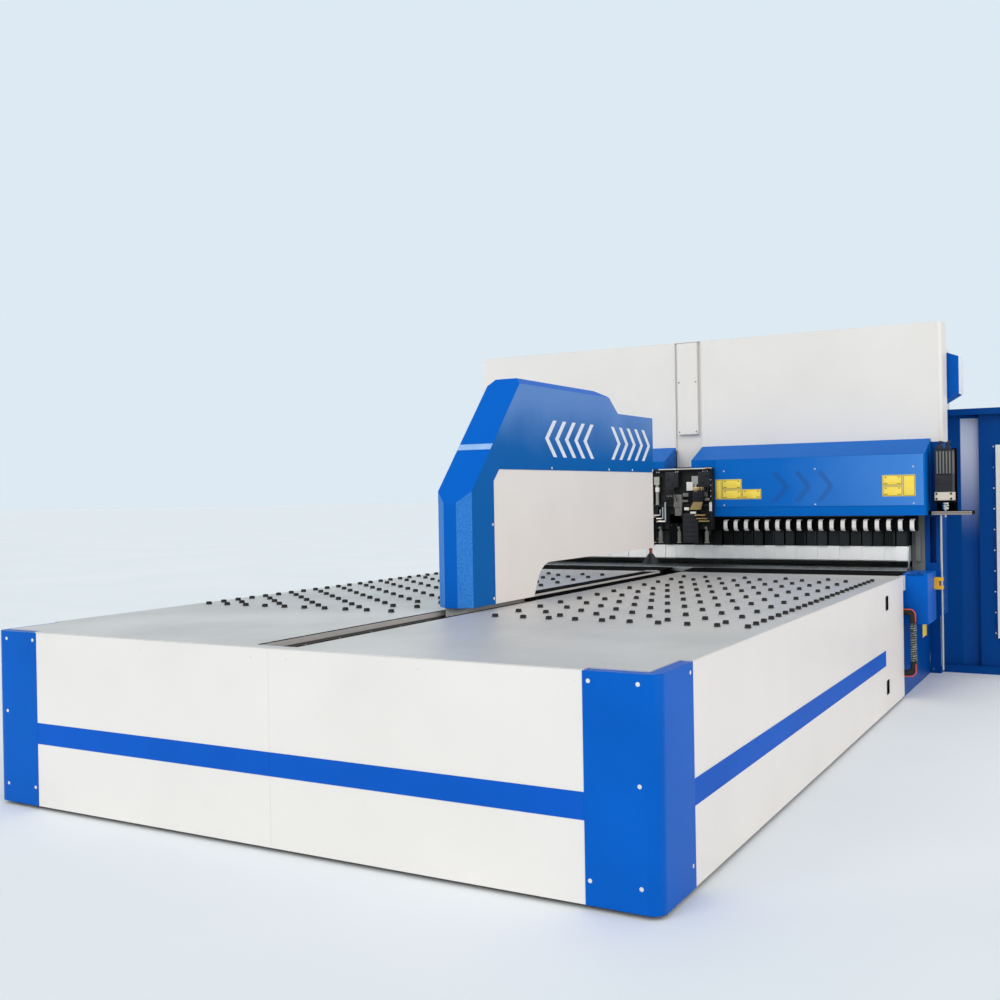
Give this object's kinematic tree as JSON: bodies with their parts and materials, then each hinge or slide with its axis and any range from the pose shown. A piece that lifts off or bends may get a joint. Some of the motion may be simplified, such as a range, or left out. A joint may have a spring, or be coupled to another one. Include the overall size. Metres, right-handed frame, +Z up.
{
  "type": "cnc bending machine",
  "caption": "Sheet bending centre with a long feed table, a C-shaped feeder arm that clamps the sheet, a segmented upper tool row with a tool changer, bending blades and a control cabinet.",
  "frame": {"origin": "bottom centre of the whole machine's bounding box, on the floor", "axes": "+X to the machine's right seen from the table's front end, +Y along the feed direction from the table's front end to the back of the press, +Z up"},
  "size_m": [4.667, 6.322, 2.5133],
  "materials": {
    "white_paint": "satin",
    "duct_paint": "satin",
    "blue_paint": "satin",
    "stripe_blue": "satin",
    "cabinet_blue": "satin",
    "stainless": "brushed",
    "tool_steel": "ground",
    "bright_steel": "polished",
    "black_paint": "satin",
    "black_plastic": "matte",
    "rubber": "matte",
    "grey_paint": "satin",
    "aluminium": "satin",
    "orange_paint": "satin",
    "yellow_plastic": "satin"
  },
  "bodies": {
    "base": {"apron": "black_paint", "base_skids": "grey_paint", "bed_beam": "black_paint", "bed_side_plates": "blue_paint", "blue_covers": "blue_paint", "blue_stripes": "stripe_blue", "brush_pads": "black_plastic", "cabinet_body": "cabinet_blue", "cable_hood": "blue_paint", "cable_loop": "rubber", "centre_duct": "duct_paint", "centre_plate": "white_paint", "corner_posts": "blue_paint", "cover_panels": "stripe_blue", "end_plates": "grey_paint", "fascias": "white_paint", "feed_motor": "black_plastic", "feed_track": "bright_steel", "fork_sensor": "yellow_plastic", "front_panels": "white_paint", "gearbox": "aluminium", "guide_rod": "bright_steel", "levelling_feet": "rubber", "lift_cylinders": "grey_paint", "lower_tool": "tool_steel", "motor_bracket": "grey_paint", "mounting_plate": "aluminium", "press_frame": "blue_paint", "rear_covers": "white_paint", "servo_motor": "black_plastic", "side_boxes": "blue_paint", "side_panels": "white_paint", "table_frame": "grey_paint", "table_top": "stainless"},
    "feeder": {"feeder_frame": "white_paint", "feeder_cover": "blue_paint", "feeder_side_panels": "white_paint", "feeder_lower_arm": "black_paint", "arm_wear_strips": "stainless", "feeder_carriage": "grey_paint", "clamp_cylinder": "black_paint"},
    "feed_spindle": {"feed_screw": "bright_steel"},
    "clamp_ram": {"clamp_rod": "bright_steel"},
    "clamp_head": {"clamp_cone": "orange_paint"},
    "clamp_table": {"clamp_disc": "tool_steel"},
    "ram": {"upper_beam": "black_paint", "upper_tools": "tool_steel", "tool_holders": "black_paint", "tool_hooks": "white_paint", "changer_frame": "black_paint", "changer_cylinders": "aluminium", "changer_pins": "black_paint"},
    "middle_tool": {"changer_slide": "tool_steel"},
    "drive_line": {"drive_shaft": "bright_steel"},
    "blade_base": {"blade_carriage": "grey_paint"},
    "blade_frame": {"blade_holder": "grey_paint", "bending_blades": "tool_steel"},
    "door": {"cabinet_door": "white_paint"},
    "latch": {"door_handle": "aluminium"}
  },
  "joints": [
    {"name": "feeder_slide", "type": "slide", "parent": "base", "child": "feeder", "axis": [0, 1, 0], "range_m": [-1.19, 0.43]},
    {"name": "screw_spin", "type": "hinge", "parent": "base", "child": "feed_spindle", "pos_m": [-0.5185, -1.761, 0.592], "axis": [0, 1, 0], "continuous": true},
    {"name": "clamp_slide", "type": "slide", "parent": "feeder", "child": "clamp_ram", "axis": [0, 0, 1], "range_m": [-0.047, 0.02]},
    {"name": "cone_spin", "type": "hinge", "parent": "clamp_ram", "child": "clamp_head", "pos_m": [-0.5185, 0.839, 0.91], "axis": [0, 0, 1], "continuous": true},
    {"name": "disc_spin", "type": "hinge", "parent": "feeder", "child": "clamp_table", "pos_m": [-0.5185, 0.839, 0.827], "axis": [0, 0, 1], "continuous": true},
    {"name": "ram_slide", "type": "slide", "parent": "base", "child": "ram", "axis": [0, 0, 1], "range_m": [-0.036, 0.13]},
    {"name": "changer_lift", "type": "slide", "parent": "ram", "child": "middle_tool", "axis": [0, 0, 1], "range_m": [0, 0.1]},
    {"name": "drive_spin", "type": "hinge", "parent": "base", "child": "drive_line", "pos_m": [1.3215, 1.539, 1.24], "axis": [0, 0, 1], "continuous": true},
    {"name": "blade_shift", "type": "slide", "parent": "base", "child": "blade_base", "axis": [0, 1, 0], "range_m": [-0.02, 0.05]},
    {"name": "blade_lift", "type": "slide", "parent": "blade_base", "child": "blade_frame", "axis": [0, 0, 1], "range_m": [-0.06, 0.06]},
    {"name": "door_hinge", "type": "hinge", "parent": "base", "child": "door", "pos_m": [1.5415, 2.4307, 0.9], "axis": [0, 0, -1], "range_deg": [0, 105]},
    {"name": "handle_turn", "type": "hinge", "parent": "door", "child": "latch", "pos_m": [2.1395, 2.379, 1.08], "axis": [0, 1, 0], "range_deg": [0, 90]}
  ],
  "couplings": [
    {"joint": "screw_spin", "follows": "feeder_slide", "rad_per_m": 157.08},
    {"joint": "disc_spin", "follows": "cone_spin", "ratio": 1}
  ]
}
